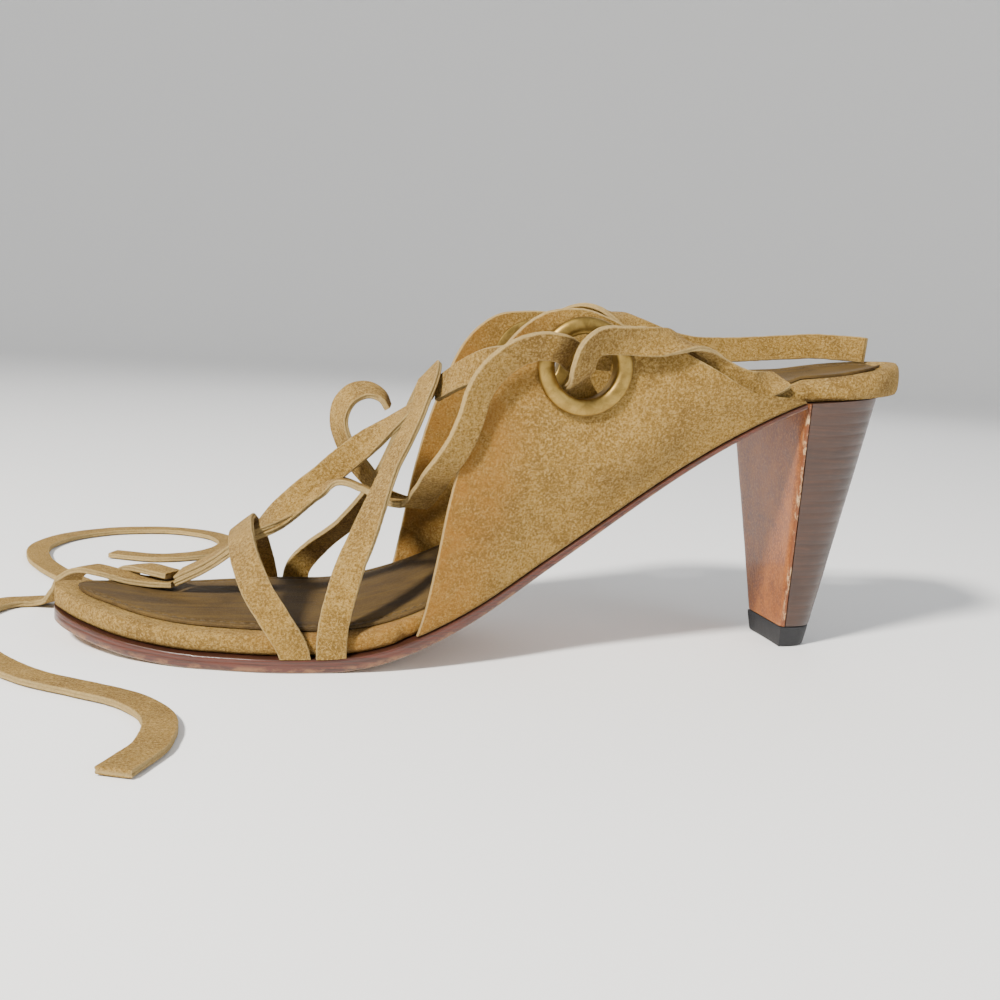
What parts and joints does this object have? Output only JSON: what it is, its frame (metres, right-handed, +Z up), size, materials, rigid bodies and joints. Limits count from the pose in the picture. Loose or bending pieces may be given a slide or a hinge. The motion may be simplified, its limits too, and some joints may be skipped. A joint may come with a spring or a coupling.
{
  "type": "strappy heeled sandal",
  "caption": "Left lace-up sandal with a tall tapered heel, suede side panels with large eyelets, crossing toe bands and a long flat tie with loose ends.",
  "frame": {"origin": "on the floor, under the centre of the bounding box of the shoe without its cord nodes", "axes": "+Z up, the toe points to -X and the heel to +X, the lateral (outer) side faces -Y"},
  "size_m": [0.2637, 0.2754, 0.0969],
  "materials": {
    "suede": "sand-coloured suede with a short nap",
    "sock_leather": "brown smooth leather, matte",
    "sole_leather": "reddish brown sole leather, satin",
    "stacked_leather": "dark brown stacked leather, polished",
    "cover_leather": "orange-brown smooth leather",
    "rubber": "black rubber, matte",
    "brass": "antique brass, satin"
  },
  "bodies": {
    "root": {"outsole": "sole_leather", "footbed": "suede", "insole_sock": "sock_leather", "heel": "stacked_leather", "heel_breast_cover": "cover_leather", "top_piece": "rubber", "panel_lateral": "suede", "panel_medial": "suede", "eyelet_lateral": "brass", "eyelet_medial": "brass", "toe_band_front": "suede", "toe_band_rear": "suede", "tie_crossings": "suede", "tie_inner": "suede", "tie_rise": "suede", "tie_curl": "suede", "tie_medial": "suede", "tie_ear": "suede", "tie_end_far": "suede", "tie_end_near": "suede"}
  },
  "joints": []
}
